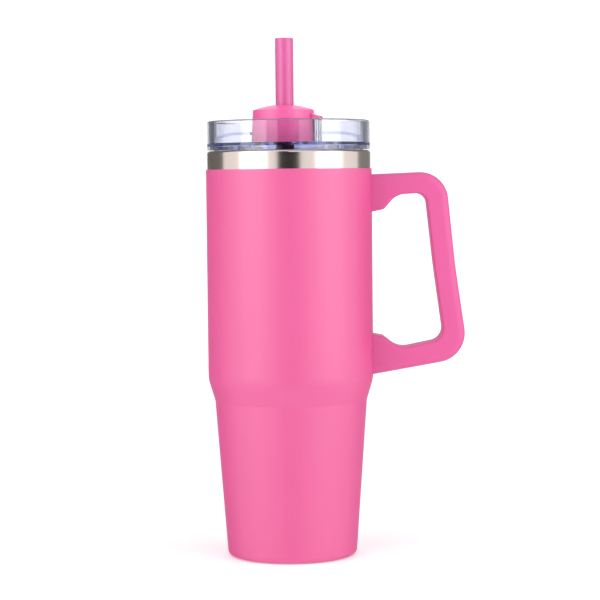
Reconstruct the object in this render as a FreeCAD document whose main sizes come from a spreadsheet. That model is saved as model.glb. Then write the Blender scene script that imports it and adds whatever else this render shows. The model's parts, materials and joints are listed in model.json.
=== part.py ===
"""Insulated tumbler: double-walled steel vessel, side handle, clear lid, turning cap and straw.

The vessel stands on the XY plane with its axis on Z, and the handle reaches towards +X.
Lengths are in millimetres. Every driving dimension is a cell of the sheet "dims", and each
sketch and primitive is bound to those cells by expressions.
"""
import FreeCAD, Part
import math
import os
import re
import Sketcher
from FreeCAD import Rotation, Vector

DIMENSIONS = {
    # How far a cut runs past the face it starts from
    "overcut": 1.0,
    # Outer shell, painted steel
    "shell_radius": 50.1,
    "shell_wall": 0.6,
    "shell_top": 233.9,
    "shoulder_top": 107.3,
    "shoulder_bottom": 94.2,
    "shoulder_round": 22.0,
    "shoulder_kink": 5.0,
    "waist_radius": 46.1,
    "foot_radius": 39.2,
    "foot_round": 3.3,
    "foot_ring_radius": 34.0,
    # Inner liner, bare steel
    "liner_wall": 0.6,
    "neck_radius": 49.45,
    "neck_bottom": 226.0,
    "neck_gap": 0.1,
    "band_radius": 49.65,
    "rim_height": 244.9,
    "rim_round": 1.3,
    "mouth_radius": 46.4,
    "liner_shoulder_top": 108.0,
    "liner_shoulder_bottom": 93.5,
    "liner_waist_radius": 42.4,
    "liner_foot_radius": 36.9,
    "liner_joint": 22.0,
    "liner_floor": 9.6,
    "liner_floor_round": 8.0,
    # Base and vacuum fittings
    "base_rise": 2.4,
    "base_plate_radius": 32.5,
    "dimple_radius": 4.0,
    "dimple_rise": 2.0,
    "evacuation_hole": 0.6,
    "bead_radius": 2.2,
    "bead_depth": 1.2,
    "cover_radius": 31.8,
    "cover_thickness": 0.7,
    "getter_x": 18.0,
    "getter_radius": 4.5,
    "getter_thickness": 2.2,
    "clip_cup_height": 1.3,
    "clip_thickness": 0.5,
    "clip_length": 14.0,
    "clip_width": 6.0,
    # Handle outline, in the XZ plane
    "root_x": 46.0,
    "handle_depth": 20.5,
    "loop_margin": 4.0,
    "loop_side_margin": 6.0,
    "outer_edge_round": 4.5,
    "inner_edge_round": 1.6,
    "top_at_root": 230.2,
    "top_corner_x": 94.1,
    "top_corner_z": 231.9,
    "top_corner_round": 17.2,
    "side_middle_x": 99.75,
    "side_middle_z": 175.0,
    "side_bow": 400.0,
    "low_corner_x": 107.6,
    "low_corner_z": 119.6,
    "low_corner_round": 17.8,
    "low_at_root": 108.9,
    "upper_pad_at_root": 207.0,
    "upper_pad_x": 56.9,
    "upper_pad_z": 209.3,
    "upper_pad_round": 2.5,
    "upper_throat_x": 64.4,
    "upper_throat_z": 218.0,
    "upper_throat_round": 12.0,
    "loop_top_x": 82.3,
    "loop_top_z": 218.9,
    "loop_top_round": 6.6,
    "loop_middle_x": 86.95,
    "loop_low_x": 92.9,
    "loop_low_z": 130.7,
    "loop_low_round": 8.0,
    "lower_throat_x": 65.4,
    "lower_throat_z": 125.1,
    "lower_throat_round": 13.0,
    "lower_pad_x": 56.3,
    "lower_pad_z": 132.6,
    "lower_pad_round": 2.2,
    "lower_pad_at_root": 134.6,
    # Handle strip and fastenings
    "strip_depth": 12.0,
    "strip_thickness": 2.0,
    "strip_top_x": 72.0,
    "strip_low_x": 80.0,
    "upper_screw_z": 213.4,
    "lower_screw_z": 129.0,
    "boss_radius": 3.3,
    "boss_end": 53.6,
    "boss_bore": 1.8,
    "boss_gap": 0.1,
    "screw_radius": 1.75,
    "screw_tip": 50.9,
    "screw_hole": 1.9,
    "head_seat": 55.0,
    "head_radius": 2.7,
    "head_height": 2.0,
    "socket_radius": 1.2,
    "socket_depth": 1.2,
    "plug_radius": 2.8,
    "plug_start": 57.1,
    "plug_end": 64.0,
    # Lid, clear
    "lid_radius": 49.5,
    "lid_bottom": 245.3,
    "lid_top": 263.0,
    "lid_edge_round": 1.3,
    "lid_inner_round": 0.8,
    "lid_bore": 45.0,
    "lid_wall": 1.8,
    "lid_step_height": 249.1,
    "lid_step_depth": 0.2,
    "deck_height": 249.6,
    "ring_bore": 43.2,
    "plug_skirt_radius": 45.6,
    "plug_skirt_bottom": 234.0,
    "floor_plate_bottom": 245.4,
    "floor_plate_gap": 0.1,
    "floor_plate_air": 0.3,
    "floor_plate_bore": 22.0,
    "gasket_bottom": 238.5,
    "gasket_height": 3.0,
    "gasket_groove": 44.4,
    "gasket_lip": 46.3,
    "gasket_waist": 45.75,
    "gasket_lip_start": 0.45,
    "gasket_lip_end": 0.85,
    "gasket_waist_start": 1.25,
    # Arch across the lid
    "arch_height": 256.3,
    "arch_bend": 35.5,
    "arch_round": 36.0,
    "arch_shoulder": 253.2,
    "arch_shoulder_round": 2.2,
    "arch_end": 43.9,
    "arch_leg": 42.4,
    "arch_leg_top": 252.0,
    "arch_leg_round": 0.8,
    "arch_depth": 14.0,
    "arch_gap": 20.4,
    # Hub in the lid, on the cap's axis
    "hub_x": -2.9,
    "straw_x": -2.1,
    "hub_radius": 13.0,
    "hub_bore": 11.2,
    "hub_top": 267.4,
    "grommet_hole": 7.3,
    "grommet_flange": 8.9,
    "grommet_bore": 5.56,
    "flange_thickness": 1.1,
    "clip_groove_radius": 12.2,
    "clip_groove_z": 257.0,
    "clip_groove_height": 1.6,
    "clip_ring_radius": 14.0,
    "clip_ring_gap": 0.1,
    "clip_ring_angle": 320.0,
    # Sip port beside the hub
    "port_inner": 19.95,
    "port_outer": 23.4,
    "port_top": 262.65,
    "port_angle": 52.0,
    "slot_inner": 20.85,
    "slot_outer": 22.5,
    "slot_angle": 46.0,
    # Turning cap
    "cap_bottom": 250.1,
    "cap_skirt_radius": 19.6,
    "cap_top_radius": 18.47,
    "cap_edge": 269.4,
    "cap_wall": 1.6,
    "cap_underside": 269.0,
    "cap_hole": 6.6,
    "cap_crown": 272.4,
    "dome_radius": 52.0,
    "sleeve_bore": 14.4,
    "sleeve_wall": 1.2,
    "sleeve_bottom": 255.5,
    "snap_lip": 13.3,
    "snap_lip_top": 256.8,
    "cap_seal_inner": 10.3,
    "cap_seal_outer": 12.7,
    "cap_seal_gap": 0.05,
    "tab_reach": 23.8,
    "tab_root": 17.6,
    "tab_bottom": 264.3,
    "tab_tip_thickness": 1.0,
    "tab_root_top": 267.5,
    "tab_angle": 60.0,
    "pad_inner": 20.0,
    "pad_outer": 23.5,
    "pad_gap": 0.1,
    "pad_angle": 54.0,
    # Straw
    "straw_radius": 5.5,
    "straw_bore": 4.4,
    "straw_foot": 11.5,
    "straw_tip": 312.6,
    "straw_edge_round": 0.4,
}

doc = FreeCAD.newDocument("tumbler")
sheet = doc.addObject("Spreadsheet::Sheet", "dims")
for row, (alias, size) in enumerate(DIMENSIONS.items(), start=1):
    sheet.set(f"A{row}", alias)
    sheet.set(f"B{row}", str(size))
    sheet.setAlias(f"B{row}", alias)
doc.recompute()

TOLERANCE = 0.01
ORIGIN_POINT = (-1, 1)
HORIZONTAL_AXIS = -1
VERTICAL_AXIS = -2
NEARLY_ZERO = 1e-9
TURN_X = Rotation(Vector(0, 1, 0), 90)

subparts = []


# Expressions and sketches


def formula(text):
    """The same expression, with each dimension's name pointed at its cell."""
    return re.sub(r"[a-z_]+", lambda word: f"dims.{word[0]}" if word[0] in DIMENSIONS else word[0], text)


def number(text):
    return float(sheet.evalExpression(formula(text)))


def bind(target, name, text):
    target.setExpression(name, formula(text))


def measure(sketch, text, kind, *places):
    """A dimensional constraint that follows an expression."""
    index = sketch.addConstraint(Sketcher.Constraint(kind, *places, number(text)))
    bind(sketch, f"Constraints[{index}]", text)


def fix_point(sketch, geometry, end, x_text, y_text):
    """Holds one point at the place that two expressions give."""
    for kind, text, axis in (("DistanceX", x_text, VERTICAL_AXIS), ("DistanceY", y_text, HORIZONTAL_AXIS)):
        if abs(number(text)) < NEARLY_ZERO:
            sketch.addConstraint(Sketcher.Constraint("PointOnObject", geometry, end, axis))
        else:
            measure(sketch, text, kind, *ORIGIN_POINT, geometry, end)


def rounded_corner(point, before, after, radius):
    """Where a corner's arc meets its two sides, and the arc's centre."""
    to_before = (before - point).normalize()
    to_after = (after - point).normalize()
    half = to_before.getAngle(to_after) / 2
    run = radius / math.tan(half)
    centre = point + (to_before + to_after).normalize() * (radius / math.sin(half))
    return point + to_before * run, point + to_after * run, centre


def arc_through(centre, radius, start, end):
    circle = Part.Circle(centre, Vector(0, 0, 1), radius)
    angles = [math.atan2(end_point.y - centre.y, end_point.x - centre.x) for end_point in (start, end)]
    return Part.ArcOfCircle(circle, *angles)


def bulged_side(start, end, radius):
    """An arc from start to end that bulges to the left of the way."""
    chord = end - start
    inwards = Vector(chord.y, -chord.x, 0).normalize()
    centre = start + chord * 0.5 + inwards * math.sqrt(radius ** 2 - (chord.Length / 2) ** 2)
    return arc_through(centre, radius, end, start)


def outline(sketch, corners, bulges=None):
    """A closed outline. A corner is (x, y) or (x, y, radius).

    bulges gives a radius for the number of a side that is an arc.
    """
    bulges = bulges or {}
    count = len(corners)
    points = [Vector(number(corner[0]), number(corner[1]), 0) for corner in corners]
    arrive, leave, centres = list(points), list(points), {}
    for i, corner in enumerate(corners):
        if len(corner) == 3:
            after = points[(i + 1) % count]
            corner_round = number(corner[2])
            arrive[i], leave[i], centres[i] = rounded_corner(points[i], points[i - 1], after, corner_round)
    sides = []
    for i in range(count):
        end = arrive[(i + 1) % count]
        if i in bulges:
            side = sketch.addGeometry(bulged_side(leave[i], end, number(bulges[i])))
            measure(sketch, bulges[i], "Radius", side)
            sides.append((side, 2, 1))
        else:
            sides.append((sketch.addGeometry(Part.LineSegment(leave[i], end)), 1, 2))
    for i, corner in enumerate(corners):
        last, _, last_end = sides[i - 1]
        following, following_start, _ = sides[i]
        if i not in centres:
            sketch.addConstraint(Sketcher.Constraint("Coincident", last, last_end, following, following_start))
            fix_point(sketch, following, following_start, corner[0], corner[1])
            continue
        turns_left = (points[i] - points[i - 1]).cross(points[(i + 1) % count] - points[i]).z > 0
        ends = (arrive[i], leave[i]) if turns_left else (leave[i], arrive[i])
        arc = sketch.addGeometry(arc_through(centres[i], number(corner[2]), *ends))
        entry, way_out = (1, 2) if turns_left else (2, 1)
        sketch.addConstraint(Sketcher.Constraint("Tangent", last, last_end, arc, entry))
        sketch.addConstraint(Sketcher.Constraint("Tangent", arc, way_out, following, following_start))
        measure(sketch, corner[2], "Radius", arc)
        tip = sketch.addGeometry(Part.Point(points[i]), True)
        for side in (last, following):
            sketch.addConstraint(Sketcher.Constraint("PointOnObject", tip, 1, side))
        fix_point(sketch, tip, 1, corner[0], corner[1])


def circles(sketch, centres, radius):
    for x_text, y_text in centres:
        place = Vector(number(x_text), number(y_text), 0)
        circle = sketch.addGeometry(Part.Circle(place, Vector(0, 0, 1), number(radius)))
        measure(sketch, radius, "Radius", circle)
        fix_point(sketch, circle, 3, x_text, y_text)


# Bodies and features


def new_body(label):
    body = doc.addObject("PartDesign::Body", label)
    subparts.append(body)
    return body


def origin_feature(body, role):
    return next(feature for feature in body.Origin.OriginFeatures if feature.Role == role)


def new_sketch(body, name, role="XZ_Plane", shift_x=None, height=None):
    """A sketch on one of the body's own planes, shifted in its plane or lifted off it."""
    sketch = body.newObject("Sketcher::SketchObject", name)
    sketch.AttachmentSupport = [(origin_feature(body, role), "")]
    sketch.MapMode = "FlatFace"
    if shift_x:
        bind(sketch, "AttachmentOffset.Base.x", shift_x)
    if height:
        bind(sketch, "AttachmentOffset.Base.z", height)
    return sketch


def turned(body, name, corners, bulges=None, axis_x=None, angle=None, cut=False):
    """A profile turned about the vertical through axis_x, through a full turn or an arc centred on +X."""
    profile = new_sketch(body, f"{name}_profile", shift_x=axis_x)
    outline(profile, corners, bulges)
    feature = body.newObject("PartDesign::Groove" if cut else "PartDesign::Revolution", name)
    feature.Profile = profile
    feature.ReferenceAxis = (profile, ["V_Axis"])
    feature.Angle = 360
    if angle:
        feature.Midplane = True
        bind(feature, "Angle", angle)
    return feature


def extruded(body, name, profile, length, cut=False, both_ways=False, backwards=False):
    feature = body.newObject("PartDesign::Pocket" if cut else "PartDesign::Pad", name)
    feature.Profile = profile
    bind(feature, "Length", length)
    if both_ways:
        feature.SideType = "Symmetric"
    feature.Reversed = backwards
    return feature


def edge_names(shape, wanted):
    return [f"Edge{i}" for i, edge in enumerate(shape.Edges, start=1) if wanted(edge)]


def round_edges(body, name, base, radius, wanted):
    """Rounds the edges of base that wanted() picks."""
    doc.recompute()
    feature = body.newObject("PartDesign::Fillet", name)
    feature.Base = (base, edge_names(base.Shape, wanted))
    bind(feature, "Radius", radius)
    return feature


def cylinder(name, radius, start, length, height=None, along_x=True):
    """A plain cylinder, along X at a height or along Z."""
    solid = doc.addObject("Part::Cylinder", name)
    bind(solid, "Radius", radius)
    bind(solid, "Height", length)
    if along_x:
        solid.Placement.Rotation = TURN_X
        bind(solid, "Placement.Base.x", start)
        bind(solid, "Placement.Base.z", height)
    else:
        bind(solid, "Placement.Base.z", start)
    return solid


def joined(name, *solids):
    union = doc.addObject("Part::MultiFuse", name)
    union.Shapes = list(solids)
    return union


def without(name, solid, tool):
    cut = doc.addObject("Part::Cut", name)
    cut.Base, cut.Tool = solid, tool
    return cut


# Vessel


def outer_shell():
    body = new_body("outer_shell")
    turned(body, "shell_wall_turn", [
        ("foot_ring_radius", "0"),
        ("foot_radius", "0", "foot_round"),
        ("waist_radius", "shoulder_bottom", "shoulder_kink"),
        ("shell_radius", "shoulder_top", "shoulder_round"),
        ("shell_radius", "shell_top"),
        ("shell_radius - shell_wall", "shell_top"),
        ("shell_radius - shell_wall", "shoulder_top", "shoulder_round - shell_wall"),
        ("waist_radius - shell_wall", "shoulder_bottom", "shoulder_kink + shell_wall"),
        ("foot_radius - shell_wall", "shell_wall", "foot_round - shell_wall"),
        ("foot_ring_radius", "shell_wall"),
    ])


def inner_liner():
    body = new_body("inner_liner")
    turned(body, "liner_turn", [
        ("neck_radius - liner_wall", "neck_bottom"),
        ("neck_radius", "neck_bottom"),
        ("neck_radius", "shell_top + neck_gap"),
        ("band_radius", "shell_top + neck_gap"),
        ("band_radius", "rim_height", "rim_round"),
        ("mouth_radius", "rim_height", "rim_round"),
        ("mouth_radius", "liner_shoulder_top", "shoulder_round"),
        ("liner_waist_radius", "liner_shoulder_bottom", "shoulder_kink"),
        ("liner_foot_radius", "liner_joint"),
        ("liner_foot_radius + liner_wall", "liner_joint"),
        ("liner_waist_radius + liner_wall", "liner_shoulder_bottom", "shoulder_kink"),
        ("mouth_radius + liner_wall", "liner_shoulder_top", "shoulder_round"),
        ("mouth_radius + liner_wall", "rim_height - liner_wall", "rim_round - liner_wall"),
        ("neck_radius - liner_wall", "rim_height - liner_wall", "rim_round - liner_wall"),
    ])


def liner_bottom():
    body = new_body("liner_bottom")
    turned(body, "floor_turn", [
        ("0", "liner_floor - liner_wall"),
        ("liner_foot_radius", "liner_floor - liner_wall", "liner_floor_round + liner_wall"),
        ("liner_foot_radius + liner_wall", "liner_joint"),
        ("liner_foot_radius", "liner_joint"),
        ("liner_foot_radius - liner_wall", "liner_floor", "liner_floor_round"),
        ("0", "liner_floor"),
    ])


def outer_base():
    body = new_body("outer_base")
    turned(body, "base_turn", [
        ("evacuation_hole", "base_rise + dimple_rise"),
        ("dimple_radius", "base_rise + dimple_rise"),
        ("dimple_radius", "base_rise"),
        ("base_plate_radius", "base_rise"),
        ("foot_ring_radius", "0"),
        ("foot_ring_radius", "shell_wall"),
        ("base_plate_radius", "base_rise + shell_wall"),
        ("dimple_radius + shell_wall", "base_rise + shell_wall"),
        ("dimple_radius + shell_wall", "base_rise + dimple_rise + shell_wall"),
        ("evacuation_hole", "base_rise + dimple_rise + shell_wall"),
    ])


def vacuum_seal():
    body = new_body("vacuum_seal")
    turned(body, "bead_turn", [
        ("0", "base_rise + dimple_rise - bead_depth"),
        ("bead_radius", "base_rise + dimple_rise - bead_depth", "bead_depth / 2"),
        ("bead_radius", "base_rise + dimple_rise"),
        ("0", "base_rise + dimple_rise"),
    ])


def base_cover():
    body = new_body("base_cover")
    plate = turned(body, "cover_turn", [
        ("0", "base_rise - cover_thickness"),
        ("cover_radius", "base_rise - cover_thickness"),
        ("cover_radius", "base_rise"),
        ("0", "base_rise"),
    ])
    low_rim, edge_length = number("base_rise - cover_thickness"), number("cover_radius")
    round_edges(body, "cover_edge", plate, "cover_thickness / 3",
                lambda edge: edge.BoundBox.ZMax < low_rim + TOLERANCE and edge.Length > edge_length)


def getter_and_clip():
    seat = "base_rise + shell_wall"
    pellet = new_body("getter")
    turned(pellet, "pellet_turn", [
        ("0", f"{seat} + clip_thickness"),
        ("getter_radius", f"{seat} + clip_thickness"),
        ("getter_radius", f"{seat} + clip_thickness + getter_thickness", "clip_thickness"),
        ("0", f"{seat} + clip_thickness + getter_thickness"),
    ], axis_x="getter_x")
    clip = new_body("getter_clip")
    strip = new_sketch(clip, "clip_strip", "XY_Plane", height=seat)
    outline(strip, [
        ("getter_x - clip_length / 2", "-clip_width / 2"),
        ("getter_x + clip_length / 2", "-clip_width / 2"),
        ("getter_x + clip_length / 2", "clip_width / 2"),
        ("getter_x - clip_length / 2", "clip_width / 2"),
    ])
    extruded(clip, "clip_plate", strip, "clip_thickness")
    turned(clip, "clip_cup", [
        ("getter_radius", seat),
        ("getter_radius + clip_thickness", seat),
        ("getter_radius + clip_thickness", f"{seat} + clip_thickness + clip_cup_height"),
        ("getter_radius", f"{seat} + clip_thickness + clip_cup_height"),
    ], axis_x="getter_x")


# Handle


OUTER_CORNERS = [
    ("root_x", "top_at_root"),
    ("top_corner_x", "top_corner_z", "top_corner_round"),
    ("side_middle_x", "side_middle_z", "side_bow"),
    ("low_corner_x", "low_corner_z", "low_corner_round"),
    ("root_x", "low_at_root"),
]
LOOP_CORNERS = [
    ("root_x", "lower_pad_at_root"),
    ("lower_pad_x", "lower_pad_z", "lower_pad_round"),
    ("lower_throat_x", "lower_throat_z", "lower_throat_round"),
    ("loop_low_x", "loop_low_z", "loop_low_round"),
    ("loop_middle_x", "side_middle_z", "side_bow"),
    ("loop_top_x", "loop_top_z", "loop_top_round"),
    ("upper_throat_x", "upper_throat_z", "upper_throat_round"),
    ("upper_pad_x", "upper_pad_z", "upper_pad_round"),
    ("root_x", "upper_pad_at_root"),
]
SCREW_HEIGHTS = ("upper_screw_z", "lower_screw_z")


def strip_corners():
    """The strip follows the handle's outer outline, one thickness deep."""
    rise = "(top_corner_z - top_at_root) / (top_corner_x - root_x)"
    fall = "(low_corner_z - low_at_root) / (low_corner_x - root_x)"
    top = f"top_at_root + {rise} * (strip_top_x - root_x)"
    low = f"low_at_root + {fall} * (strip_low_x - root_x)"
    deep = "strip_thickness"
    return [
        ("strip_top_x", top),
        ("top_corner_x", "top_corner_z", "top_corner_round"),
        ("side_middle_x", "side_middle_z", "side_bow"),
        ("low_corner_x", "low_corner_z", "low_corner_round"),
        ("strip_low_x", low),
        ("strip_low_x", f"{low} + {deep}"),
        (f"low_corner_x - {deep}", f"low_corner_z + {deep}", f"low_corner_round - {deep}"),
        (f"side_middle_x - {deep}", "side_middle_z", "side_bow"),
        (f"top_corner_x - {deep}", f"top_corner_z - {deep}", f"top_corner_round - {deep}"),
        ("strip_top_x", f"{top} - {deep}"),
    ]


def lies_on(edge, y):
    return abs(edge.BoundBox.YMin - y) < TOLERANCE and abs(edge.BoundBox.YMax - y) < TOLERANCE


def inside_loop(edge):
    """True for an edge of the finger loop, which the handle's outer outline surrounds."""
    middle = edge.valueAt((edge.FirstParameter + edge.LastParameter) / 2)
    at_side = middle.x > number("side_middle_x - loop_side_margin")
    at_top = middle.z > number("top_at_root - loop_margin")
    slope = number("(low_corner_z - low_at_root) / (low_corner_x - root_x)")
    low_edge = number("low_at_root") + slope * (middle.x - number("root_x"))
    return not at_side and not at_top and middle.z > low_edge + number("loop_margin")


def handle_frame():
    body = new_body("handle_frame")
    side = new_sketch(body, "handle_side")
    outline(side, OUTER_CORNERS + LOOP_CORNERS)
    blank = extruded(body, "handle_blank", side, "handle_depth", both_ways=True)
    doc.recompute()
    face_y = number("handle_depth / 2")
    root = number("root_x + overcut")

    def along_face(edge):
        return (lies_on(edge, face_y) or lies_on(edge, -face_y)) and edge.BoundBox.XMax > root

    soft = round_edges(body, "outer_rounding", blank, "outer_edge_round",
                       lambda edge: along_face(edge) and not inside_loop(edge))
    doc.recompute()
    round_edges(body, "loop_rounding", soft, "inner_edge_round",
                lambda edge: along_face(edge) and inside_loop(edge))
    vessel = new_sketch(body, "vessel_circle", "XY_Plane")
    circles(vessel, [("0", "0")], "shell_radius")
    extruded(body, "vessel_cut", vessel, "shell_top", cut=True, backwards=True)
    channel = new_sketch(body, "strip_channel_outline")
    outline(channel, strip_corners())
    extruded(body, "strip_channel", channel, "strip_depth", cut=True, both_ways=True)
    bores = (
        ("boss_pocket", "boss_radius + boss_gap", "root_x", "boss_end + boss_gap - root_x"),
        ("screw_passage", "screw_hole", "boss_end", "head_seat - boss_end"),
        ("head_bore", "plug_radius", "head_seat", "plug_end - head_seat"),
    )
    for name, radius, start, length in bores:
        ring = new_sketch(body, f"{name}_circles", "YZ_Plane", height=start)
        circles(ring, [("0", height) for height in SCREW_HEIGHTS], radius)
        extruded(body, name, ring, length, cut=True, backwards=True)


def handle_strip():
    body = new_body("handle_strip")
    side = new_sketch(body, "strip_side")
    outline(side, strip_corners())
    extruded(body, "strip_pad", side, "strip_depth", both_ways=True)


def boss(label, height):
    """A threaded boss whose root follows the shell's curve."""
    stud = cylinder(f"{label}_stud", "boss_radius", "root_x", "boss_end - root_x", height)
    thread = cylinder(f"{label}_thread", "boss_bore", "root_x", "boss_end - root_x + overcut", height)
    wall = cylinder(f"{label}_wall", "shell_radius", "low_at_root", "top_at_root - low_at_root", along_x=False)
    solid = without(label, without(f"{label}_bored", stud, thread), wall)
    subparts.append(solid)


def handle_screws():
    screws = []
    for height in SCREW_HEIGHTS:
        name = height.replace("_z", "")
        shank = cylinder(f"{name}_shank", "screw_radius", "screw_tip", "head_seat - screw_tip", height)
        head = cylinder(f"{name}_head", "head_radius", "head_seat", "head_height", height)
        socket = cylinder(f"{name}_socket", "socket_radius", "head_seat + head_height - socket_depth",
                          "socket_depth", height)
        screws.append(without(name, joined(f"{name}_blank", shank, head), socket))
    group = doc.addObject("Part::Compound", "handle_screws")
    group.Links = screws
    subparts.append(group)


def screw_plugs():
    """Two soft plugs, trimmed to the face of the finger loop."""
    loop = doc.addObject("Sketcher::SketchObject", "loop_outline")
    loop.Placement.Rotation = Rotation(Vector(1, 0, 0), 90)
    outline(loop, LOOP_CORNERS)
    space = doc.addObject("Part::Extrusion", "loop_space")
    space.Base = loop
    space.DirMode = "Normal"
    space.Solid = True
    space.Symmetric = True
    bind(space, "LengthFwd", "handle_depth")
    pegs = [cylinder(height.replace("screw_z", "plug_peg"), "plug_radius", "plug_start",
                     "plug_end - plug_start", height) for height in SCREW_HEIGHTS]
    subparts.append(without("screw_plugs", joined("plug_pegs", *pegs), space))


# Lid


def lid_body():
    body = new_body("lid_body")
    turned(body, "lid_shell", [
        ("0", "deck_height - lid_wall"),
        ("ring_bore", "deck_height - lid_wall"),
        ("ring_bore", "plug_skirt_bottom"),
        ("plug_skirt_radius", "plug_skirt_bottom"),
        ("plug_skirt_radius", "lid_bottom"),
        ("lid_radius", "lid_bottom"),
        ("lid_radius", "lid_step_height"),
        ("lid_radius - lid_step_depth", "lid_step_height + lid_step_depth"),
        ("lid_radius - lid_step_depth", "lid_top", "lid_edge_round"),
        ("lid_bore", "lid_top", "lid_inner_round"),
        ("lid_bore", "deck_height"),
        ("0", "deck_height"),
    ])
    return body


def arch(body):
    """The low arch across the deck, open in the middle for the cap's skirt."""
    side = new_sketch(body, "arch_side")
    foot = "deck_height - lid_wall / 2"
    outline(side, [
        ("-arch_end", foot),
        ("-arch_end", "arch_shoulder", "arch_shoulder_round"),
        ("-arch_bend", "arch_height", "arch_round"),
        ("arch_bend", "arch_height", "arch_round"),
        ("arch_end", "arch_shoulder", "arch_shoulder_round"),
        ("arch_end", foot),
        ("arch_leg", foot),
        ("arch_leg", "arch_leg_top", "arch_leg_round"),
        ("arch_bend", "arch_height - lid_wall", "arch_round - lid_wall"),
        ("-arch_bend", "arch_height - lid_wall", "arch_round - lid_wall"),
        ("-arch_leg", "arch_leg_top", "arch_leg_round"),
        ("-arch_leg", foot),
    ])
    extruded(body, "arch_sheet", side, "arch_depth", both_ways=True)
    turned(body, "arch_gap_turn", [
        ("0", "deck_height"),
        ("arch_gap", "deck_height"),
        ("arch_gap", "arch_height + overcut"),
        ("0", "arch_height + overcut"),
    ], axis_x="hub_x", cut=True)


def features_on_hub(body):
    """The hub, port and grooves, all on the cap's axis."""
    turned(body, "hub", [
        ("0", "deck_height - lid_wall / 2"),
        ("hub_radius", "deck_height - lid_wall / 2"),
        ("hub_radius", "hub_top", "lid_inner_round"),
        ("0", "hub_top"),
    ], axis_x="hub_x")
    turned(body, "hub_hollow", [
        ("0", "deck_height - lid_wall - overcut"),
        ("hub_bore", "deck_height - lid_wall - overcut"),
        ("hub_bore", "hub_top - lid_wall"),
        ("0", "hub_top - lid_wall"),
    ], axis_x="hub_x", cut=True)
    turned(body, "clip_groove", [
        ("clip_groove_radius", "clip_groove_z"),
        ("hub_radius + overcut", "clip_groove_z"),
        ("hub_radius + overcut", "clip_groove_z + clip_groove_height"),
        ("clip_groove_radius", "clip_groove_z + clip_groove_height"),
    ], axis_x="hub_x", cut=True)
    turned(body, "grommet_seat", [
        ("0", "hub_top - lid_wall - overcut"),
        ("grommet_hole", "hub_top - lid_wall - overcut"),
        ("grommet_hole", "hub_top + overcut"),
        ("0", "hub_top + overcut"),
    ], axis_x="straw_x", cut=True)
    turned(body, "port_wall", [
        ("port_inner", "deck_height - lid_wall / 2"),
        ("port_outer", "deck_height - lid_wall / 2"),
        ("port_outer", "port_top"),
        ("port_inner", "port_top"),
    ], axis_x="hub_x", angle="port_angle")
    turned(body, "port_slot", [
        ("slot_inner", "deck_height - lid_wall - overcut"),
        ("slot_outer", "deck_height - lid_wall - overcut"),
        ("slot_outer", "port_top + overcut"),
        ("slot_inner", "port_top + overcut"),
    ], axis_x="hub_x", angle="slot_angle", cut=True)


def lid_floor_plate():
    """The clear ring welded in under the deck, with a thin layer of air between them."""
    body = new_body("lid_floor_plate")
    top = "deck_height - lid_wall - floor_plate_air"
    turned(body, "floor_plate_turn", [
        ("floor_plate_bore", "floor_plate_bottom"),
        ("ring_bore - floor_plate_gap", "floor_plate_bottom"),
        ("ring_bore - floor_plate_gap", top),
        ("floor_plate_bore", top),
    ])


def lid_gasket_groove(body):
    turned(body, "gasket_groove", [
        ("gasket_groove", "gasket_bottom"),
        ("plug_skirt_radius + overcut", "gasket_bottom"),
        ("plug_skirt_radius + overcut", "gasket_bottom + gasket_height"),
        ("gasket_groove", "gasket_bottom + gasket_height"),
    ], cut=True)


def lid_gasket():
    """A silicone ring with two soft lips."""
    body = new_body("lid_gasket")
    lip, waist = "gasket_lip", "gasket_waist"
    top = "gasket_bottom + gasket_height"
    turned(body, "gasket_turn", [
        ("gasket_groove", "gasket_bottom"),
        (waist, "gasket_bottom"),
        (lip, "gasket_bottom + gasket_lip_start"),
        (lip, "gasket_bottom + gasket_lip_end"),
        (waist, "gasket_bottom + gasket_waist_start"),
        (waist, f"{top} - gasket_waist_start"),
        (lip, f"{top} - gasket_lip_end"),
        (lip, f"{top} - gasket_lip_start"),
        (waist, top),
        ("gasket_groove", top),
    ])


def straw_grommet():
    """A silicone grommet: two flanges with the hub's top plate between them."""
    body = new_body("straw_grommet")
    turned(body, "grommet_turn", [
        ("grommet_bore", "hub_top - lid_wall - flange_thickness"),
        ("grommet_flange", "hub_top - lid_wall - flange_thickness", "flange_thickness / 3"),
        ("grommet_flange", "hub_top - lid_wall"),
        ("grommet_hole", "hub_top - lid_wall"),
        ("grommet_hole", "hub_top"),
        ("grommet_flange", "hub_top"),
        ("grommet_flange", "hub_top + flange_thickness", "flange_thickness / 3"),
        ("grommet_bore", "hub_top + flange_thickness"),
    ], axis_x="straw_x")


def retaining_ring():
    """A split ring in the hub's groove. The cap's lip catches under it."""
    body = new_body("retaining_ring")
    turned(body, "ring_turn", [
        ("clip_groove_radius", "clip_groove_z + clip_ring_gap"),
        ("clip_ring_radius", "clip_groove_z + clip_ring_gap"),
        ("clip_ring_radius", "clip_groove_z + clip_groove_height - clip_ring_gap"),
        ("clip_groove_radius", "clip_groove_z + clip_groove_height - clip_ring_gap"),
    ], axis_x="hub_x", angle="clip_ring_angle")


# Turning cap and straw


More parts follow.
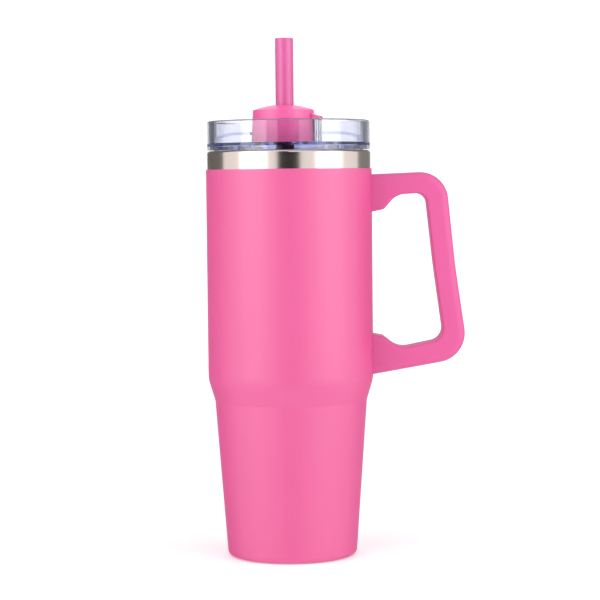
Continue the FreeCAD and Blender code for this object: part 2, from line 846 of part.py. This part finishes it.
def turning_cap():
    body = new_body("turning_cap")
    turned(body, "cap_shell", [
        ("cap_hole", "cap_crown"),
        ("cap_top_radius", "cap_edge"),
        ("cap_skirt_radius", "cap_bottom"),
        ("cap_skirt_radius - cap_wall", "cap_bottom"),
        ("cap_top_radius - cap_wall", "cap_underside"),
        ("sleeve_bore + sleeve_wall", "cap_underside"),
        ("sleeve_bore + sleeve_wall", "sleeve_bottom"),
        ("snap_lip", "sleeve_bottom"),
        ("snap_lip", "snap_lip_top"),
        ("sleeve_bore", "snap_lip_top"),
        ("sleeve_bore", "cap_underside"),
        ("cap_hole", "cap_underside"),
    ], bulges={0: "dome_radius"}, axis_x="hub_x")
    turned(body, "tab", [
        ("tab_root", "tab_bottom"),
        ("tab_reach", "tab_bottom"),
        ("tab_reach", "tab_bottom + tab_tip_thickness"),
        ("tab_root", "tab_root_top"),
    ], axis_x="hub_x", angle="tab_angle")


def cap_seal():
    body = new_body("cap_seal")
    turned(body, "seal_turn", [
        ("cap_seal_inner", "hub_top + cap_seal_gap"),
        ("cap_seal_outer", "hub_top + cap_seal_gap"),
        ("cap_seal_outer", "cap_underside"),
        ("cap_seal_inner", "cap_underside"),
    ], axis_x="hub_x")


def port_pad():
    body = new_body("port_pad")
    turned(body, "pad_turn", [
        ("pad_inner", "port_top + pad_gap"),
        ("pad_outer", "port_top + pad_gap"),
        ("pad_outer", "tab_bottom"),
        ("pad_inner", "tab_bottom"),
    ], axis_x="hub_x", angle="pad_angle")


def straw():
    body = new_body("straw")
    turned(body, "straw_turn", [
        ("straw_bore", "straw_foot", "straw_edge_round"),
        ("straw_radius", "straw_foot", "straw_edge_round"),
        ("straw_radius", "straw_tip", "straw_edge_round"),
        ("straw_bore", "straw_tip", "straw_edge_round"),
    ], axis_x="straw_x")


def check_document():
    for item in doc.Objects:
        broken = [state for state in item.State if state in ("Invalid", "Error")]
        if broken:
            raise RuntimeError(f"{item.Label} is {broken[0]}")
    for item in subparts:
        if item.Shape.isNull() or not item.Shape.isValid() or not item.Shape.Solids:
            raise RuntimeError(f"{item.Label} has no valid solid")


def build():
    outer_shell()
    inner_liner()
    liner_bottom()
    outer_base()
    vacuum_seal()
    base_cover()
    getter_and_clip()
    for label, height in zip(("upper_boss", "lower_boss"), SCREW_HEIGHTS):
        boss(label, height)
    handle_frame()
    handle_strip()
    handle_screws()
    screw_plugs()
    lid = lid_body()
    arch(lid)
    features_on_hub(lid)
    lid_gasket_groove(lid)
    lid_floor_plate()
    lid_gasket()
    straw_grommet()
    retaining_ring()
    turning_cap()
    cap_seal()
    port_pad()
    straw()
    doc.recompute()
    check_document()
    os.makedirs("parts", exist_ok=True)
    for item in subparts:
        item.Shape.exportStep(f"parts/{item.Label}.step")
        print(item.Label, len(item.Shape.Solids), round(item.Shape.Volume), item.Shape.BoundBox)


build()
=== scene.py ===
"""Studio scene for the insulated tumbler: materials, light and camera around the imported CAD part.

Lengths are in metres, in the part's own frame: the vessel stands on the XY plane with its axis on Z,
and the handle reaches towards +X. The camera looks along +Y. Each pink is a pair of tones that a
material drifts between.
"""
import json
import math

import bpy
from mathutils import Euler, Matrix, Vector

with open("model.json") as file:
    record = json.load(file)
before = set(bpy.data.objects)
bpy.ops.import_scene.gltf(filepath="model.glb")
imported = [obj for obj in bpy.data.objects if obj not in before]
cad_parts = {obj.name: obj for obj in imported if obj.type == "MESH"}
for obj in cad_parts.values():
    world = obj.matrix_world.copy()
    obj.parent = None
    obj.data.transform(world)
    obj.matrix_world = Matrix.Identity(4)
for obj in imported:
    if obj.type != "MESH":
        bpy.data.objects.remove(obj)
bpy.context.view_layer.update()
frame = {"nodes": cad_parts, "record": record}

BODY_PINK = ((0.585, 0.063, 0.228, 1), (0.625, 0.070, 0.246, 1))
HANDLE_PINK = ((0.57, 0.074, 0.252, 1), (0.62, 0.084, 0.275, 1))
# The cap's tones are partly its own pink and partly painted light: they are lighter than the body's pink to
# make up for the light that the clear lid holds back from the cap
CAP_PINK_AND_PAINTED_LIGHT = ((0.79, 0.114, 0.350, 1), (0.84, 0.128, 0.378, 1))
STRAW_PINK = ((0.55, 0.097, 0.285, 1), (0.60, 0.108, 0.310, 1))
STEEL = (0.65, 0.565, 0.525, 1)
SOFT_WHITE = (1.0, 0.96, 0.93)
MICRON = 1e-6

# The liner's duller inside gives way to its bright outside between these two radii
LINER_INSIDE, LINER_OUTSIDE = 0.0472, 0.0482

# Studio
FLOOR_SIDE = 30
FLOOR_DROP = 0.0002
WORLD_STRENGTH = 1.2
LAMP_WATTS = 9.5
LAMP_SIZE = (0.9, 1.4)
LAMP_DISTANCE = 1.3
LAMP_TARGET = (0, 0, 0.16)
STUDIO_MIDDLE = 0.35
CARD_HEIGHT = 2.4

# The photo's viewpoint
EYE = (0.00595, -1.23185, 0.22566)
EYE_PITCH, EYE_ROLL = 0.0576, -0.0101
LENS, SENSOR = 122.07, 36.0


# Node graphs


class Graph:
    """A material's node tree, built one node at a time."""

    def __init__(self, name):
        self.material = bpy.data.materials.new(name)
        self.material.use_nodes = True
        self.tree = self.material.node_tree
        self.shader = self.tree.nodes["Principled BSDF"]

    def add(self, kind, inputs=None, **settings):
        """A new node. An input given another node's output is linked to it."""
        node = self.tree.nodes.new(kind)
        for name, value in settings.items():
            setattr(node, name, value)
        for name, value in (inputs or {}).items():
            self.feed(node.inputs[name], value)
        return node

    def feed(self, socket, value):
        """Links a socket to another node's output, or sets it to a plain value."""
        if isinstance(value, bpy.types.NodeSocket):
            self.tree.links.new(value, socket)
        else:
            socket.default_value = value

    def surface(self, **inputs):
        """Sets or links the shader's inputs, such as base_color or roughness."""
        for name, value in inputs.items():
            self.feed(self.shader.inputs[SHADER_INPUTS[name]], value)

    def place(self, stretch=(1, 1, 1)):
        """A point on the piece, in metres, stretched by a factor on each axis."""
        coordinates = self.add("ShaderNodeTexCoord")
        mapping = self.add("ShaderNodeMapping", {"Vector": coordinates.outputs["Object"], "Scale": stretch})
        return mapping.outputs["Vector"]

    def noise(self, size, place=None, detail=2.0, roughness=0.5):
        """Noise with features about size metres across, from 0 to 1."""
        node = self.add("ShaderNodeTexNoise", {
            "Vector": place or self.place(), "Scale": 1 / size, "Detail": detail, "Roughness": roughness})
        return node.outputs["Fac"]

    def spread(self, value, low, high):
        """Moves a value from 0 to 1 into the range from low to high."""
        node = self.add("ShaderNodeMapRange", {"Value": value, "To Min": low, "To Max": high})
        return node.outputs["Result"]

    def blend(self, factor, first, second):
        """A colour between two colours."""
        node = self.add("ShaderNodeMixRGB", {"Fac": factor, "Color1": first, "Color2": second})
        return node.outputs["Color"]

    def absorb(self, color, density):
        """Tints what passes through the piece, the more so the thicker it is."""
        volume = self.add("ShaderNodeVolumeAbsorption", {"Color": color, "Density": density})
        self.tree.links.new(volume.outputs["Volume"], self.tree.nodes["Material Output"].inputs["Volume"])

    def bump(self, height, depth, strength, under=None):
        """A normal that follows a height map whose full range is depth metres."""
        inputs = {"Height": height, "Distance": depth, "Strength": strength}
        if under:
            inputs["Normal"] = under
        return self.add("ShaderNodeBump", inputs).outputs["Normal"]


SHADER_INPUTS = {
    "base_color": "Base Color",
    "metallic": "Metallic",
    "roughness": "Roughness",
    "ior": "IOR",
    "transmission": "Transmission Weight",
    "subsurface": "Subsurface Weight",
    "subsurface_scale": "Subsurface Scale",
    "specular": "Specular IOR Level",
    "anisotropy": "Anisotropic",
    "tangent": "Tangent",
    "coat": "Coat Weight",
    "glow_color": "Emission Color",
    "glow": "Emission Strength",
    "normal": "Normal",
}


# Materials, one for each slot of the record


def powder_coat(name):
    """Sprayed and baked powder: a satin film with a fine grain over a soft orange peel."""
    g = Graph(name)
    peel = g.noise(0.0022, detail=1)
    grain = g.noise(0.00035, detail=2)
    cloud = g.noise(0.045, detail=3)
    g.surface(
        base_color=g.blend(cloud, *BODY_PINK),
        roughness=g.spread(grain, 0.40, 0.52),
        specular=0.9,
        normal=g.bump(grain, 20 * MICRON, 0.5, under=g.bump(peel, 30 * MICRON, 0.35)),
    )
    return g.material


def brushed_steel(name):
    """Stainless steel, brushed round the vessel's axis, and duller inside the liner."""
    g = Graph(name)
    radius = g.add("ShaderNodeVectorMath", {0: g.place((1, 1, 0))}, operation="LENGTH").outputs["Value"]
    outside = g.add("ShaderNodeMapRange", {
        "Value": radius, "From Min": LINER_INSIDE, "From Max": LINER_OUTSIDE,
    }).outputs["Result"]
    lines = g.noise(0.0006, place=g.place((0.03, 0.03, 3.0)), detail=4, roughness=0.7)
    cloud = g.noise(0.03, detail=2)
    tangent = g.add("ShaderNodeTangent", direction_type="RADIAL", axis="Z")
    g.surface(
        base_color=g.blend(cloud, STEEL, tuple(0.94 * c for c in STEEL[:3]) + (1,)),
        metallic=g.spread(outside, 0.6, 1.0),
        roughness=g.spread(lines, 0.14, 0.20),
        anisotropy=0.1,
        tangent=tangent.outputs["Tangent"],
        normal=g.bump(lines, 6 * MICRON, 0.4),
    )
    return g.material


def spun_steel(name):
    """Steel with the rings that a turning tool leaves about the axis."""
    g = Graph(name)
    rings = g.add("ShaderNodeTexWave", {
        "Vector": g.place(), "Scale": 260.0, "Distortion": 0.6, "Detail": 2.0,
    }, wave_type="RINGS", rings_direction="Z")
    stain = g.noise(0.012, detail=3)
    g.surface(
        base_color=g.blend(stain, (0.74, 0.73, 0.71, 1), (0.63, 0.62, 0.61, 1)),
        metallic=1.0,
        roughness=g.spread(rings.outputs["Fac"], 0.22, 0.38),
        normal=g.bump(rings.outputs["Fac"], 10 * MICRON, 0.5),
    )
    return g.material


def solder_glass(name):
    """A dark drop of glass solder with small bubbles."""
    g = Graph(name)
    bubbles = g.add("ShaderNodeTexVoronoi", {"Vector": g.place(), "Scale": 2500.0})
    g.surface(
        base_color=g.blend(g.noise(0.001), (0.010, 0.011, 0.013, 1), (0.035, 0.034, 0.038, 1)),
        roughness=g.spread(g.noise(0.0008), 0.05, 0.16),
        coat=0.5,
        normal=g.bump(bubbles.outputs["Distance"], 50 * MICRON, 0.3),
    )
    return g.material


def sintered_metal(name):
    """The getter's pressed and sintered powder."""
    g = Graph(name)
    grain = g.noise(0.0003, detail=5, roughness=0.7)
    g.surface(
        base_color=g.blend(grain, (0.035, 0.034, 0.036, 1), (0.13, 0.125, 0.12, 1)),
        metallic=0.7,
        roughness=g.spread(grain, 0.55, 0.8),
        normal=g.bump(grain, 120 * MICRON, 0.8),
    )
    return g.material


def moulded_plastic(name, tones, gloss=(0.34, 0.46), subsurface=0.0):
    """Injection-moulded plastic with a fine mould texture and slight flow marks."""
    g = Graph(name)
    flow = g.noise(0.02, place=g.place((1, 1, 0.4)), detail=3)
    grain = g.noise(0.0005, detail=2)
    g.surface(
        base_color=g.blend(flow, *tones),
        roughness=g.spread(grain, *gloss),
        subsurface=subsurface,
        subsurface_scale=0.002,
        normal=g.bump(grain, 20 * MICRON, 0.4, under=g.bump(flow, 200 * MICRON, 0.05)),
    )
    return g.material


def soft_touch(name):
    """Rubbery overmould: matt, with a slightly coarser grain than the plastic beside it."""
    g = Graph(name)
    grain = g.noise(0.0004, detail=3, roughness=0.6)
    g.surface(
        base_color=g.blend(g.noise(0.015), *HANDLE_PINK),
        roughness=g.spread(grain, 0.55, 0.7),
        specular=0.4,
        normal=g.bump(grain, 40 * MICRON, 0.5),
    )
    return g.material


def clear_plastic(name):
    """Clear copolyester with a polished face and faint mould ripples."""
    g = Graph(name)
    ripple = g.noise(0.012, place=g.place((1, 1, 0.5)), detail=1)
    scuff = g.noise(0.0012, place=g.place((0.2, 1, 1)), detail=4, roughness=0.7)
    g.surface(
        base_color=g.blend(ripple, (0.94, 0.945, 0.975, 1), (0.905, 0.912, 0.95, 1)),
        roughness=g.spread(scuff, 0.0, 0.045),
        transmission=1.0,
        ior=1.52,
        normal=g.bump(ripple, 50 * MICRON, 0.25),
    )
    g.absorb((0.42, 0.47, 0.76, 1), 36.0)
    return g.material


def silicone(name):
    """Translucent white silicone with a dry, slightly dusty skin."""
    g = Graph(name)
    dust = g.noise(0.0007, detail=3)
    g.surface(
        base_color=g.blend(dust, (0.78, 0.78, 0.79, 1), (0.88, 0.88, 0.88, 1)),
        roughness=g.spread(dust, 0.42, 0.6),
        subsurface=0.4,
        subsurface_scale=0.003,
        normal=g.bump(dust, 20 * MICRON, 0.3),
    )
    return g.material


MATERIALS = {
    "powder_coat": powder_coat("powder_coat_pink"),
    "steel": brushed_steel("brushed_steel"),
    "base_steel": spun_steel("spun_steel"),
    "seal_glass": solder_glass("solder_glass"),
    "getter_metal": sintered_metal("sintered_metal"),
    "handle_plastic": moulded_plastic("handle_plastic_pink", HANDLE_PINK, gloss=(0.5, 0.62)),
    "handle_soft": soft_touch("soft_touch_pink"),
    "clear_plastic": clear_plastic("clear_copolyester"),
    "silicone": silicone("white_silicone"),
    "white_plastic": moulded_plastic("white_acetal", ((0.76, 0.76, 0.75, 1), (0.84, 0.84, 0.83, 1))),
    # The cap's tones carry painted light on top of the cap's own pink
    "cap_plastic": moulded_plastic("cap_plastic_pink_painted_light", CAP_PINK_AND_PAINTED_LIGHT, gloss=(0.28, 0.4), subsurface=0.1),
    "straw_plastic": moulded_plastic("straw_plastic_pink", STRAW_PINK, gloss=(0.24, 0.34), subsurface=0.25),
}


def dress_frame():
    """Each CAD node gets its slot's material."""
    for part in frame["record"]["subparts"]:
        mesh = frame["nodes"][part["node"]].data
        mesh.materials.clear()
        mesh.materials.append(MATERIALS[part["material_slot"]])


# Studio


def around(azimuth, distance):
    """A place in the studio at an azimuth in degrees. Azimuth 0 is behind the camera, 90 is at +X."""
    angle = math.radians(azimuth)
    return Vector((math.sin(angle) * distance, -math.cos(angle) * distance, STUDIO_MIDDLE))


def plain_material(name, tone, glow=0.0):
    """A matt grey from 0 to 1 for the stage, with a white glow of its own if asked for."""
    g = Graph(name)
    g.surface(base_color=(tone, tone, tone, 1), roughness=0.8, glow_color=(1, 1, 1, 1), glow=glow)
    return g.material


def panel(name, centre, size, facing, material):
    """A flat stage panel, size (width, height), that faces a point."""
    width, height = (side / 2 for side in size)
    mesh = bpy.data.meshes.new(name)
    corners = [(-width, -height, 0), (width, -height, 0), (width, height, 0), (-width, height, 0)]
    mesh.from_pydata(corners, [], [(0, 1, 2, 3)])
    mesh.materials.append(material)
    board = bpy.data.objects.new(name, mesh)
    board.location = centre
    board.rotation_euler = (Vector(facing) - Vector(centre)).to_track_quat("Z", "Y").to_euler()
    bpy.context.scene.collection.objects.link(board)
    return board


def floor():
    """A pale floor just under the foot. It glows a little so that it stays as white as the world."""
    white = plain_material("floor_white", 0.91, glow=0.2)
    board = panel("floor", (0, 0, 0), (FLOOR_SIDE, FLOOR_SIDE), (0, 0, 1), white)
    board.location.z = -FLOOR_DROP
    board.visible_glossy = False


def flag(name, azimuths, tone, distance=1.7):
    """An upright card between two azimuths. The steel and the lid reflect it, and the camera doesn't see it."""
    start, end = azimuths
    width = 2 * distance * math.tan(math.radians(end - start) / 2)
    centre = around((start + end) / 2, distance)
    dark = plain_material(f"{name}_card", tone)
    card = panel(name, centre, (width, CARD_HEIGHT), (0, 0, STUDIO_MIDDLE), dark)
    card.visible_camera = False


def softbox(name, azimuth):
    """A tall soft lamp at an azimuth, turned to the middle of the vessel."""
    data = bpy.data.lights.new(name, "AREA")
    data.shape = "RECTANGLE"
    data.size, data.size_y = LAMP_SIZE
    data.energy = LAMP_WATTS
    data.color = SOFT_WHITE
    lamp = bpy.data.objects.new(name, data)
    lamp.location = around(azimuth, LAMP_DISTANCE)
    lamp.rotation_euler = (Vector(LAMP_TARGET) - lamp.location).to_track_quat("-Z", "Y").to_euler()
    bpy.context.scene.collection.objects.link(lamp)


def white_world():
    """An even white all round, which fills the shadows and shows behind the floor."""
    world = bpy.data.worlds.new("studio")
    world.use_nodes = True
    background = world.node_tree.nodes["Background"]
    background.inputs["Color"].default_value = (1, 1, 1, 1)
    background.inputs["Strength"].default_value = WORLD_STRENGTH
    bpy.context.scene.world = world


def studio():
    """Two lamps in front. The front flag draws the dark line in the steel band, the others its dark ends."""
    floor()
    white_world()
    softbox("softbox_left", -50)
    softbox("softbox_right", 58)
    flag("flag_front", (-15, 15), 0.0)
    flag("flag_left", (-157, -101), 0.13, distance=0.8)
    flag("flag_right", (110, 157), 0.22, distance=0.8)


def camera():
    """The camera as fitted to the photo: it looks slightly down and is rolled by about half a degree."""
    data = bpy.data.cameras.new("camera")
    data.lens, data.sensor_width = LENS, SENSOR
    eye = bpy.data.objects.new("camera", data)
    eye.location = EYE
    look = Euler((math.pi / 2 - EYE_PITCH, 0, 0)).to_matrix() @ Euler((0, 0, EYE_ROLL)).to_matrix()
    eye.rotation_euler = look.to_euler()
    bpy.context.scene.collection.objects.link(eye)
    bpy.context.scene.camera = eye


dress_frame()
studio()
camera()
bpy.context.scene.view_settings.view_transform = "Standard"
